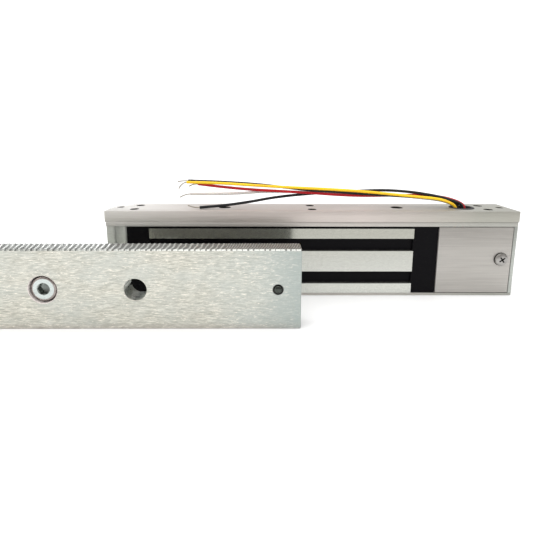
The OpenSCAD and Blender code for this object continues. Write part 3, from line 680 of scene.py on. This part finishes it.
def right_end_block():
    """End wall beside the cover, with the seat of the cover's screw."""
    (x0, y0, z0), (x1, y1, z1) = node_box("right_end_block")
    bm = bmesh.new()
    drawn(bm, [(x0, y0 + 1.5), (x1 - 1.95, y0 + 1.5), (x1 - 1.95, y0), (x1, y0), (x1, y1), (x0, y1)], z0, z1, "Z",
          0.15)
    obj = piece("right_end_block", bm)
    end_bores(obj, FIXING_X[1], z0, z1)
    cut = bmesh.new()
    lathe(cut, (SCREW_X, y0, SCREW_Z), [(0, 1), (1.6, 1), (1.6, 9), (0, 9.8)], 32)
    carve(obj, cut)


def cover_plate():
    """Flat cover with the hole for its screw."""
    (x0, y0, z0), (x1, y1, z1) = node_box("cover_plate")
    bm = bmesh.new()
    drawn(bm, [(x0, y0), (x1, y0), (x1, y1), (x0, y1)], z0, z1, "Z", 0.18)
    obj = piece("cover_plate", bm)
    cut = bmesh.new()
    lathe(cut, (SCREW_X, y0, SCREW_Z), [(0, -1), (1.6, -1), (1.6, 2.2), (0, 2.2)], 48)
    carve(obj, cut)


header_plate()
housing()
left_end_block()
right_end_block()
cover_plate()

# ---- screws, washers, pins and plugs


def fixing_screws():
    """Two cap screws, heads down."""
    (_, _, z0), (_, _, z1) = node_box("fixing_screws")
    bm = bmesh.new()
    cut = bmesh.new()
    for x in FIXING_X:
        lathe(bm, (x, 0, z0), [(0, 0), (2.85, 0), (3.1, 0.1), (3.25, 0.4), (3.25, 3.9), (3.15, 4), (1.9, 4),
                               (1.9, z1 - z0 - 0.4), (1.5, z1 - z0), (0, z1 - z0)], 48, axis="Z")
        lathe(cut, (x, 0, z0), [(0, -1), (1.732, -1), (1.732, 2), (0, 2.6)], 6, axis="Z")
    carve(piece("fixing_screws", bm), cut)


def ring_of(node, hole, ease):
    """A washer that fills its CAD node's box."""
    (x0, y0, z0), (x1, y1, z1) = node_box(node)
    r, t, e = (x1 - x0) / 2, y1 - y0, 0.3 * ease
    bm = bmesh.new()
    profile = [(hole, ease), (hole + ease, 0), (r - ease, 0), (r - e, e), (r, ease), (r, t - ease), (r - e, t - e),
               (r - ease, t), (hole + ease, t), (hole, t - ease), (hole, ease)]
    lathe(bm, ((x0 + x1) / 2, y0, (z0 + z1) / 2), profile, 72)
    bmesh.ops.remove_doubles(bm, verts=bm.verts, dist=1e-7)
    piece(node, bm)


def guide_pins():
    """Two shouldered pins on the plate's back."""
    (x0, y0, z0), (x1, y1, z1) = node_box("guide_pins")
    bm = bmesh.new()
    for x in (x0 + 3, x1 - 3):
        lathe(bm, (x, y0, (z0 + z1) / 2), [
            (0, 0), (2.7, 0), (3, 0.3), (3, 5.9), (2.9, 6), (2.7, 6), (2.7, 13.9), (2.5, 14.3), (1.7, 15), (0, 15)],
            48)
    piece("guide_pins", bm)


def ejector_plugs():
    """Slotted plugs that close the ejector bores."""
    (x0, y0, z0), (x1, y1, z1) = node_box("ejector_plugs")
    bm = bmesh.new()
    cut = bmesh.new()
    middle = (z0 + z1) / 2
    for x in (x0 + 3.5, x1 - 3.5):
        lathe(bm, (x, y0, middle), disc(3.5, 0, y1 - y0, 0.15), 48)
        small_box(cut, (x - 2.2, y1 - 0.8, middle - 0.4), (x + 2.2, y1 + 1, middle + 0.4), 0.05)
    carve(piece("ejector_plugs", bm), cut)


def ejector_pin(node):
    """Domed pin with a collar for its spring."""
    (x0, y0, z0), (x1, y1, z1) = node_box(node)
    bm = bmesh.new()
    profile = [(0, 0), (0.7, 0.04), (1.3, 0.2), (1.7, 0.5), (1.93, 0.9), (2, 1.3), (2, 3.83), (2.1, 3.85),
               (3.05, 3.85), (3.2, 4.0), (3.2, y1 - y0 - 0.15), (3.05, y1 - y0), (0, y1 - y0)]
    lathe(bm, ((x0 + x1) / 2, y0, (z0 + z1) / 2), profile, 48)
    piece(node, bm)


def varistor():
    """Disc on edge, its rim well rounded."""
    (x0, y0, z0), (x1, y1, z1) = node_box("varistor")
    bm = bmesh.new()
    lathe(bm, ((x0 + x1) / 2, y0, (z0 + z1) / 2), disc((x1 - x0) / 2, 0, y1 - y0, 0.9), 48)
    piece("varistor", bm)


def small_box(bm, low, high, ease, mat=0):
    """A box in millimetres with rounded edges, added to bm."""
    part = bmesh.new()
    bmesh.ops.create_cube(part, size=1)
    low, high = Vector(low), Vector(high)
    for v in part.verts:
        v.co = Vector(((low[i] + high[i]) / 2 + v.co[i] * (high[i] - low[i]) for i in range(3))) * MM
    bmesh.ops.bevel(part, geom=part.edges, offset=ease * MM, segments=2, profile=0.6, affect="EDGES")
    for f in part.faces:
        f.material_index = mat
    mesh = bpy.data.meshes.new("part")
    part.to_mesh(mesh)
    part.free()
    bm.from_mesh(mesh)
    bpy.data.meshes.remove(mesh)


def boxed(node, ease):
    """A rounded box that fills its CAD node's box."""
    bm = bmesh.new()
    low, high = node_box(node)
    small_box(bm, low, high, ease)
    return piece(node, bm)


def terminals():
    """Middles of the terminal block's screw wells, on its front face, mm."""
    low, high = node_box("terminal_block")
    pitch = (high[0] - low[0]) / 5
    return [(low[0] + pitch * (n + 0.5), low[1], low[2] + 3) for n in range(5)]


def terminal_block():
    """Block with a well for each terminal's screw."""
    obj = boxed("terminal_block", 0.25)
    cut = bmesh.new()
    for at in terminals():
        lathe(cut, at, [(0, -1), (0.9, -1), (0.9, 3), (0, 3)], 32)
    carve(obj, cut)


fixing_screws()
ring_of("rubber_washer", 4.1, 0.4)
ring_of("outer_washer", 4.1, 0.2)
ring_of("inner_washer", 4.5, 0.2)
guide_pins()
ejector_plugs()
ejector_pin("ejector_pin_left")
ejector_pin("ejector_pin_right")
varistor()
boxed("relay", 0.35)
boxed("bond_sensor", 0.15)
terminal_block()

# ---- armature plate

plate_low, plate_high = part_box("armature_plate")
PX = (plate_low.x + plate_high.x) / 2 / MM
PY = plate_low.y / MM
PZ = (plate_low.z + plate_high.z) / 2 / MM
PLATE_L, PLATE_T, PLATE_H = 196.0, 11.0, 38.5
BOLT_DX, EJECTOR_DX, GUIDE_DX = 21.25, 87.2, 65.0
PITCH_MM = 2.45
END_EASE = 0.4
COLLAR_BACK_Y, PLUG_SEAT_Y = 4.2, PLATE_T - 2  # what each ejector spring stands between
# the third material is a painted highlight
FACE, CUT, PAINTED_HIGHLIGHT = 0, 1, 2  # the plate's materials, in the order they are given to it


def scallop_phase(x, y):
    """Place along the row of milled scallops, which lean and curve across the edge."""
    return (x + (0.23 - 0.0043 * x) * y + 1.2 * math.exp(-y / 2.5) + 0.25 * math.sin(0.21 * x)) / PITCH_MM


def fineness(x):
    """0 where the scallops are coarse, 1 where they're fine, near the right end."""
    return min(1, max(0, ((x + PLATE_L / 2) / PLATE_L - 0.74) / 0.16))


def ridge(x, y):
    """Depth of the milled scallops on the plate's top edge, mm."""
    lean = scallop_phase(x, y)
    coarse = abs(math.sin(math.pi * lean))
    fine = abs(math.sin(math.pi * (lean * 2.0 + 0.12)))
    share = fineness(x)
    depth = 0.36 - 0.10 * (x + PLATE_L / 2) / PLATE_L
    return depth * ((1 - share) * coarse + share * 0.5 * fine) * (0.88 + 0.12 * math.sin(1.7 * x + 0.6))


def on_highlit_crest(x, y):
    """Whether a spot lies on a crest between two scallops, where a highlight is painted."""
    share = fineness(x)
    swing = 0.5 + 0.5 * math.sin(0.9 * x) * math.sin(0.37 * x + 1)
    width = (0.19 - 0.09 * share) * (0.75 + 0.5 * swing)
    phase = scallop_phase(x, y) * (1 if share < 0.5 else 2) + 0.06 * math.sin(0.8 * y + x)
    return abs(phase - round(phase)) < width


def plate_ring(x, inset):
    """One section of the plate, counter-clockwise seen from +X, in local mm."""
    h, t, c, lip = PLATE_H / 2 - inset, PLATE_T, 0.3, 0.65
    points = [(inset, -h + 0.12), (inset + 0.12, -h)]
    points += [(t - inset - c, -h), (t - inset, -h + c)]
    points += [(t - inset, h - c - 0.15)]
    steps = 22
    for i in range(steps + 1):
        y = t - inset - c - (t - 2 * inset - c - lip) * i / steps
        points.append((y, h - ridge(x, y)))
    points += [(inset, h - 0.6 - 0.5 * ridge(x, 0.0))]
    return points


def plate_kind(k, count, x, y):
    """Material of one strip of the plate: a painted highlight on the crests of the top edge and along its front top
    corner.
    """
    if k == count - 2:
        # painted highlight along the front top corner, broken at the scallops' troughs
        return CUT if abs(scallop_phase(x, 0) % 1 - 0.5) < 0.13 + 0.08 * math.sin(0.7 * x) else PAINTED_HIGHLIGHT
    if 4 <= k < count - 2:
        # painted highlight on the scallops' crests
        return PAINTED_HIGHLIGHT if on_highlit_crest(x, y) else CUT
    return FACE if k in (0, count - 1, 3) else CUT


def paint_bore(obj, mat, x, r, low, high):
    """Gives mat to the wall of a hole along Y on the plate's middle line, from low to high behind its face."""
    paint_inside(obj, mat, (x - r, PY + low, PZ - r), (x + r, PY + high, PZ + r))


def armature_plate():
    """Plate drawn out of many sections, then counterbored and drilled."""
    bm = bmesh.new()
    count = 1000
    first, last = -PLATE_L / 2 + END_EASE, PLATE_L / 2 - END_EASE
    stations = [(-PLATE_L / 2, END_EASE), (first, 0)]
    stations += [(first + (last - first) * i / count, 0) for i in range(1, count)]
    stations += [(last, 0), (PLATE_L / 2, END_EASE)]
    sections = [plate_ring(x, inset) for x, inset in stations]
    rings = [[bm.verts.new(Vector((PX + x, PY + y, PZ + z)) * MM) for y, z in section]
             for (x, _), section in zip(stations, sections)]
    n = len(rings[0])
    for i in range(len(rings) - 1):
        x = (stations[i][0] + stations[i + 1][0]) / 2
        for k, face in enumerate(bridge(bm, rings[i], rings[i + 1])):
            face.material_index = plate_kind(k, n, x, (sections[i][k][0] + sections[i][(k + 1) % n][0]) / 2)
    bm.faces.new(rings[0][::-1]).material_index = CUT
    bm.faces.new(rings[-1]).material_index = CUT
    obj = add_mesh("armature_plate_milled", bm, [MATS["plate_zinc"], EDGE, CREST_HIGHLIGHT], "armature",
                   ["armature_plate"])
    cut = bmesh.new()
    lathe(cut, (PX - BOLT_DX, PY, PZ), [
        (0, -1), (7.4, -1), (6.85, -0.01), (6.8, 0.02), (6.6, 0.25), (6.6, 6.9), (4.5, 6.9), (4.5, 10.8),
        (4.75, 11.05), (4.9, 12), (0, 12)], 96)
    lathe(cut, (PX + BOLT_DX, PY, PZ), [
        (0, -1), (6.2, -1), (5.4, 0), (5.2, 0.22), (5.2, 10.7), (5.5, 11), (6.2, 12), (0, 12)], 96)
    for side in (-1, 1):
        lathe(cut, (PX + side * EJECTOR_DX, PY, PZ), [
            (0, -1), (3.4, -1), (2.62, 0), (2.5, 0.14), (2.5, 0.6), (2.05, 0.6), (2.05, 3), (3.5, 3), (3.5, 12),
            (0, 12)], 48)
        lathe(cut, (PX + side * GUIDE_DX, PY, PZ), [(0, 5), (3, 5), (3, 12), (0, 12)], 48)
    carve(obj, cut)
    # painted highlight on the free hole's wall
    paint_bore(obj, HOLE_WALL_HIGHLIGHT, PX + BOLT_DX, 5.3, 0.3, 10.6)
    # painted shade in the ejector bores' mouths and walls
    for side in (-1, 1):
        paint_bore(obj, BORE_SHADE, PX + side * EJECTOR_DX, 2.58, 0.1, 3.1)
    # painted light on the counterbore wall, against its shade
    paint_bore(obj, SUNK_PAINTED_LIGHT, PX - BOLT_DX, 6.7, 0.1, 6.95)


armature_plate()

# ---- armature bolt

THREAD_Y, THREAD_END_Y, THREAD_PITCH = 18.5, 28.6, 1.25
HEX_ACROSS_FLATS = 5


def armature_bolt():
    """Socket head with a bright face, plain shank, cut thread."""
    x, y, z = PX - BOLT_DX, PY, PZ
    bm = bmesh.new()
    sides = 48
    profile = [(0, 0.8), (4.9, 0.8), (5.4, 0.88), (5.76, 1.1), (5.96, 1.5), (6.03, 2.1), (6.03, 6.35), (5.8, 6.6),
               (4.0, 6.6), (4.0, 18.4)]
    rings = []
    for r, s in profile:
        rings.append([bm.verts.new(Vector((x, y + s, z)) * MM)] if r == 0 else
                     [bm.verts.new(Vector((x + r * math.cos(a), y + s, z + r * math.sin(a))) * MM)
                      for a in [2 * math.pi * k / sides for k in range(sides)]])
    steps = 110
    for i in range(steps + 1):
        s = THREAD_Y + (THREAD_END_Y - THREAD_Y) * i / steps
        ring = []
        for k in range(sides):
            a = 2 * math.pi * k / sides
            phase = (s / THREAD_PITCH - k / sides) % 1
            tooth = 1 - abs(2 * phase - 1)
            r = 3.35 + 0.6 * min(1, max(0, tooth * 1.25 - 0.1))
            r = min(r, 3.1 + (THREAD_END_Y - s) * 0.9)
            ring.append(bm.verts.new(Vector((x + r * math.cos(a), y + s, z + r * math.sin(a))) * MM))
        rings.append(ring)
    rings.append([bm.verts.new(Vector((x, y + THREAD_END_Y, z)) * MM)])
    # levels 1 to 6, the head's rim and side, get painted shade
    for level, (a, b) in enumerate(zip(rings, rings[1:])):
        bridge(bm, a, b, 1 if 1 <= level <= 6 else 0)
    obj = add_mesh("armature_bolt_threaded", bm, [MATS["bolt_steel"], FLANK_SHADE], "door_fixing",
                   ["armature_bolt"])
    cut = bmesh.new()
    lathe(cut, (x, y, z), [(0, 0), (3.9, 0), (2.95, 0.8), (2.6, 1.1), (0, 1.1)], 60)
    carve(obj, cut)
    cut = bmesh.new()
    hexagon = HEX_ACROSS_FLATS / math.cos(math.pi / 6) / 2
    lathe(cut, (x, y, z), [(0, 0.2), (hexagon, 0.2), (hexagon, 4.2), (0, 5.2)], 6)
    carve(obj, cut)
    # painted shade inside the hex socket
    paint_bore(obj, SOCKET_SHADE, x, 2.95, 0.85, 5.5)


armature_bolt()

# ---- springs


def ejector_spring(side, x):
    """Coil between the ejector pin's collar and its plug."""
    bm = bmesh.new()
    wire, radius, turns, steps = 0.35, 2.3, 3, 32
    y0, y1 = COLLAR_BACK_Y + wire + 0.1, PLUG_SEAT_Y - wire - 0.05
    count = turns * steps
    line = [(x + radius * math.cos(2 * math.pi * i / steps), PY + y0 + (y1 - y0) * i / count,
             PZ + radius * math.sin(2 * math.pi * i / steps)) for i in range(count + 1)]
    sweep(bm, line, wire, 10)
    name = "ejector_spring_" + side
    obj = add_mesh(name + "_coil", bm, [MATS["spring_steel"]], "armature", [name], 40)
    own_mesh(obj)


ejector_spring("left", PX - EJECTOR_DX)
ejector_spring("right", PX + EJECTOR_DX)

# ---- cover screw


def cross_screw(name, at, head_r, head_h, shank_r, shank_l, body, slot, node, turn, wing):
    """Pan-head screw pointing along +Y from at, the middle of the surface under its head."""
    x, y, z = at
    bm = bmesh.new()
    dome = ((0, 1), (0.35, 1), (0.68, 0.93), (0.88, 0.74), (0.97, 0.45), (1, 0.15), (0.985, 0))
    profile = [(head_r * out, -head_h * up) for out, up in dome] + [(shank_r, 0)]
    count = int(shank_l / 0.25)
    for i in range(1, count + 1):
        profile.append((shank_r - (0.12 if i % 2 else 0), shank_l * i / count))
    profile.append((0, shank_l))
    lathe(bm, at, profile, 64)
    obj = add_mesh(name, bm, [MATS[slot]], body, [node])
    cut = bmesh.new()
    rings = []
    for level, reach, half in ((-head_h - 0.5, wing, 0.19 * wing), (-head_h * 0.25, wing * 0.3, 0.13 * wing)):
        ring = []
        for k in range(4):
            a = turn + k * math.pi / 2
            out = Vector((math.cos(a), 0, math.sin(a)))
            side = Vector((-math.sin(a), 0, math.cos(a)))
            for u, v in ((half, -half), (reach, -half), (reach, half)):
                ring.append(cut.verts.new((Vector((x, y + level, z)) + out * u + side * v) * MM))
        rings.append(ring)
    cut.faces.new(rings[0])
    cut.faces.new(rings[1][::-1])
    for k in range(12):
        m = (k + 1) % 12
        cut.faces.new((rings[0][k], rings[1][k], rings[1][m], rings[0][m]))
    carve(obj, cut)
    obj.data.materials.append(SHADE_STEEL)
    for face in obj.data.polygons:
        place = face.center / MM - Vector(at)
        r = math.hypot(place.x, place.z)
        recess = r < 1.05 * wing and place.y > 0.2 - head_h
        if place.y < 0.1 and (recess or r > 0.955 * head_r):
            face.material_index = 1


screw_low, screw_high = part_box("cover_screw")
screw_at = ((screw_low.x + screw_high.x) / 2 / MM, FRONT_Y, (screw_low.z + screw_high.z) / 2 / MM)
cross_screw("cover_screw_cross", screw_at, head_r=3.8, head_h=1.85, shank_r=1.5, shank_l=7.4, body="cover",
            slot="cover_screw_steel", node="cover_screw", turn=math.radians(35), wing=2.3)

# ---- wiring compartment

BOARD_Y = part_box("circuit_board")[0].y / MM
# Middle in X and Z, width and height of each chip part
CHIPS = [(74.4, -22.5, 1.3, 2.2), (76.6, -22.5, 1.3, 2.2), (74.4, -26.4, 1.3, 2.2), (76.6, -26.4, 1.3, 2.2),
         (91.2, -37.2, 2.2, 1.3), (94.6, -37.2, 2.2, 1.3), (91.2, -39.6, 2.2, 1.3), (96.2, -24.5, 1.6, 3.0),
         (93.6, -24.5, 1.6, 3.0)]


def board_parts():
    """Chip parts, solder and the terminal block's screws."""
    bm = bmesh.new()
    for i, (x, z, w, h) in enumerate(CHIPS):
        small_box(bm, (x - w / 2, BOARD_Y - 0.6, z - h / 2), (x + w / 2, BOARD_Y + 0.05, z + h / 2), 0.08, i % 2)
        for end in (-1, 1):
            dx, dz = (0, end * h / 2) if h > w else (end * w / 2, 0)
            lathe(bm, (x + dx, BOARD_Y - 0.3, z + dz), [(0, 0), (0.35, 0), (0.6, 0.2), (0.7, 0.32), (0, 0.32)],
                  12, 2)
    add_mesh("board_chips", bm, [MATS["sensor_plastic"], MATS["relay_plastic"], MATS["small_steel"]], "magnet")
    bm, cut = bmesh.new(), bmesh.new()
    for x, y, z in terminals():
        y += 2.2
        lathe(bm, (x, y, z), [(0, 0), (0.62, 0), (0.78, 0.15), (0.78, 0.8), (0, 0.8)], 24)
        small_box(cut, (x - 0.9, y - 0.4, z - 0.11), (x + 0.9, y + 0.3, z + 0.11), 0.02)
    carve(add_mesh("terminal_screws", bm, [MATS["small_steel"]], "magnet"), cut)


board_parts()
for i, (x, z) in enumerate(((75.5, -15.2), (75.5, -41.8), (95.4, -15.2), (95.4, -41.8))):
    cross_screw("board_screw_%d" % (i + 1), (x, BOARD_Y, z), head_r=2.0, head_h=1.45, shank_r=1.02, shank_l=3.9,
                body="magnet", slot="small_steel", node="board_screws", turn=math.radians(20 + 31 * i), wing=1.2)


def inner_leads():
    """The five leads between the terminals and the cable hole, in their colours."""
    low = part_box("inner_leads")[0].z / MM
    bm = bmesh.new()
    for index, route in enumerate(ROUTES.values()):
        x, y, top = route[0]
        line = [(x + 0.18 * math.sin(3.1 * t + index), y + 0.1 * math.sin(4 * t), low + (top - low) * t)
                for t in [i / 12 for i in range(13)]]
        line[-1] = (x, y, top)
        sweep(bm, line, LEAD_R - 0.02, 16, index)
    add_mesh("inner_leads_coloured", bm, [MATS[LEAD_SLOT[c]] for c in ROUTES], "magnet",
             ["inner_leads"], 50)


inner_leads()

# ---- floor, light

FLOOR_GAP = 0.0001
floor_mesh = bpy.data.meshes.new("floor")
floor_mesh.from_pydata([(-3, -3, 0), (3, -3, 0), (3, 5, 0), (-3, 5, 0)], [], [(0, 1, 2, 3)])
floor = bpy.data.objects.new("floor", floor_mesh)
floor.location.z = CAD_BOX[0].z - FLOOR_GAP
bpy.context.scene.collection.objects.link(floor)
paper = Shader("floor_paper", 0.0, Specular_IOR_Level=0.0)
floor_mesh.materials.append(paper.done(
    paper.mix(paper.span(paper.noise((0.02, 0.02, 0.02), 2, 0.5), 0.0, 1.0), (0.93, 0.93, 0.93), (0.95, 0.95, 0.95)),
    paper.span(paper.noise((0.5, 0.5, 0.5), 2, 0.5), 0.85, 0.95)))

# Surfaces reflect a soft gradient from front to back and one bright panel; everything else sees white paper
world = bpy.data.worlds.new("studio")
bpy.context.scene.world = world
world.use_nodes = True
nodes, links = world.node_tree.nodes, world.node_tree.links
nodes.clear()
where = nodes.new("ShaderNodeTexCoord")
apart = nodes.new("ShaderNodeSeparateXYZ")
links.new(where.outputs["Generated"], apart.inputs[0])


def ranged(axis, start, end, high=1.0):
    """Rises from 0 to high as the direction's component goes from start to end."""
    node = nodes.new("ShaderNodeMapRange")
    for key, value in (("From Min", start), ("From Max", end), ("To Min", 0.0), ("To Max", high)):
        node.inputs[key].default_value = value
    links.new(apart.outputs[axis], node.inputs["Value"])
    return node.outputs["Result"]


def product(a, b, plus=0.0):
    """The product of two sockets, with a number added."""
    node = nodes.new("ShaderNodeMath")
    node.operation = "MULTIPLY_ADD"
    links.new(a, node.inputs[0])
    links.new(b, node.inputs[1])
    node.inputs[2].default_value = plus
    return node.outputs[0]


def background(colour, strength):
    """A background shader; either input is a socket or a value."""
    node = nodes.new("ShaderNodeBackground")
    for key, value in (("Color", colour), ("Strength", strength)):
        if isinstance(value, bpy.types.NodeSocket):
            links.new(value, node.inputs[key])
        else:
            node.inputs[key].default_value = value
    return node.outputs["Background"]


tone = nodes.new("ShaderNodeValToRGB")
tone.color_ramp.elements[0].color = (0.50, 0.475, 0.46, 1)
tone.color_ramp.elements[1].color = (1.0, 1.0, 1.0, 1)
links.new(ranged("Y", -0.75, 0.35), tone.inputs["Fac"])
# The panel is low and far behind, to the left
panel = product(ranged("X", -0.14, -0.36, 4.6), ranged("Y", 0.6, 0.85))
room = background(tone.outputs["Color"], product(panel, ranged("Z", 0.18, 0.13), 1.0))
paper_white = background((1, 1, 1, 1), 1.3)
ray = nodes.new("ShaderNodeLightPath")
choose = nodes.new("ShaderNodeMixShader")
out = nodes.new("ShaderNodeOutputWorld")
links.new(ray.outputs["Is Glossy Ray"], choose.inputs["Fac"])
links.new(paper_white, choose.inputs[1])
links.new(room, choose.inputs[2])
links.new(choose.outputs["Shader"], out.inputs["Surface"])


def area(name, place, aim, size, power, colour):
    """A softbox at place, turned to aim; metres and watts."""
    lamp = bpy.data.lights.new(name, "AREA")
    lamp.shape = "RECTANGLE"
    lamp.size, lamp.size_y = size
    lamp.energy = power
    lamp.color = colour
    obj = bpy.data.objects.new(name, lamp)
    obj.location = place
    obj.rotation_euler = (Vector(aim) - Vector(place)).to_track_quat("-Z", "Y").to_euler()
    bpy.context.scene.collection.objects.link(obj)


area("softbox_top", (-0.15, -0.1, 0.9), (0, 0, 0), (1.0, 0.7), 2.5, (1, 0.99, 0.97))
area("softbox_left", (-0.9, -0.55, 0.35), (-0.05, 0, 0), (0.6, 0.5), 1.2, (1, 0.97, 0.94))
area("softbox_right", (0.9, -0.35, 0.5), (0.05, 0, 0), (0.5, 0.6), 0.8, (0.96, 0.98, 1))
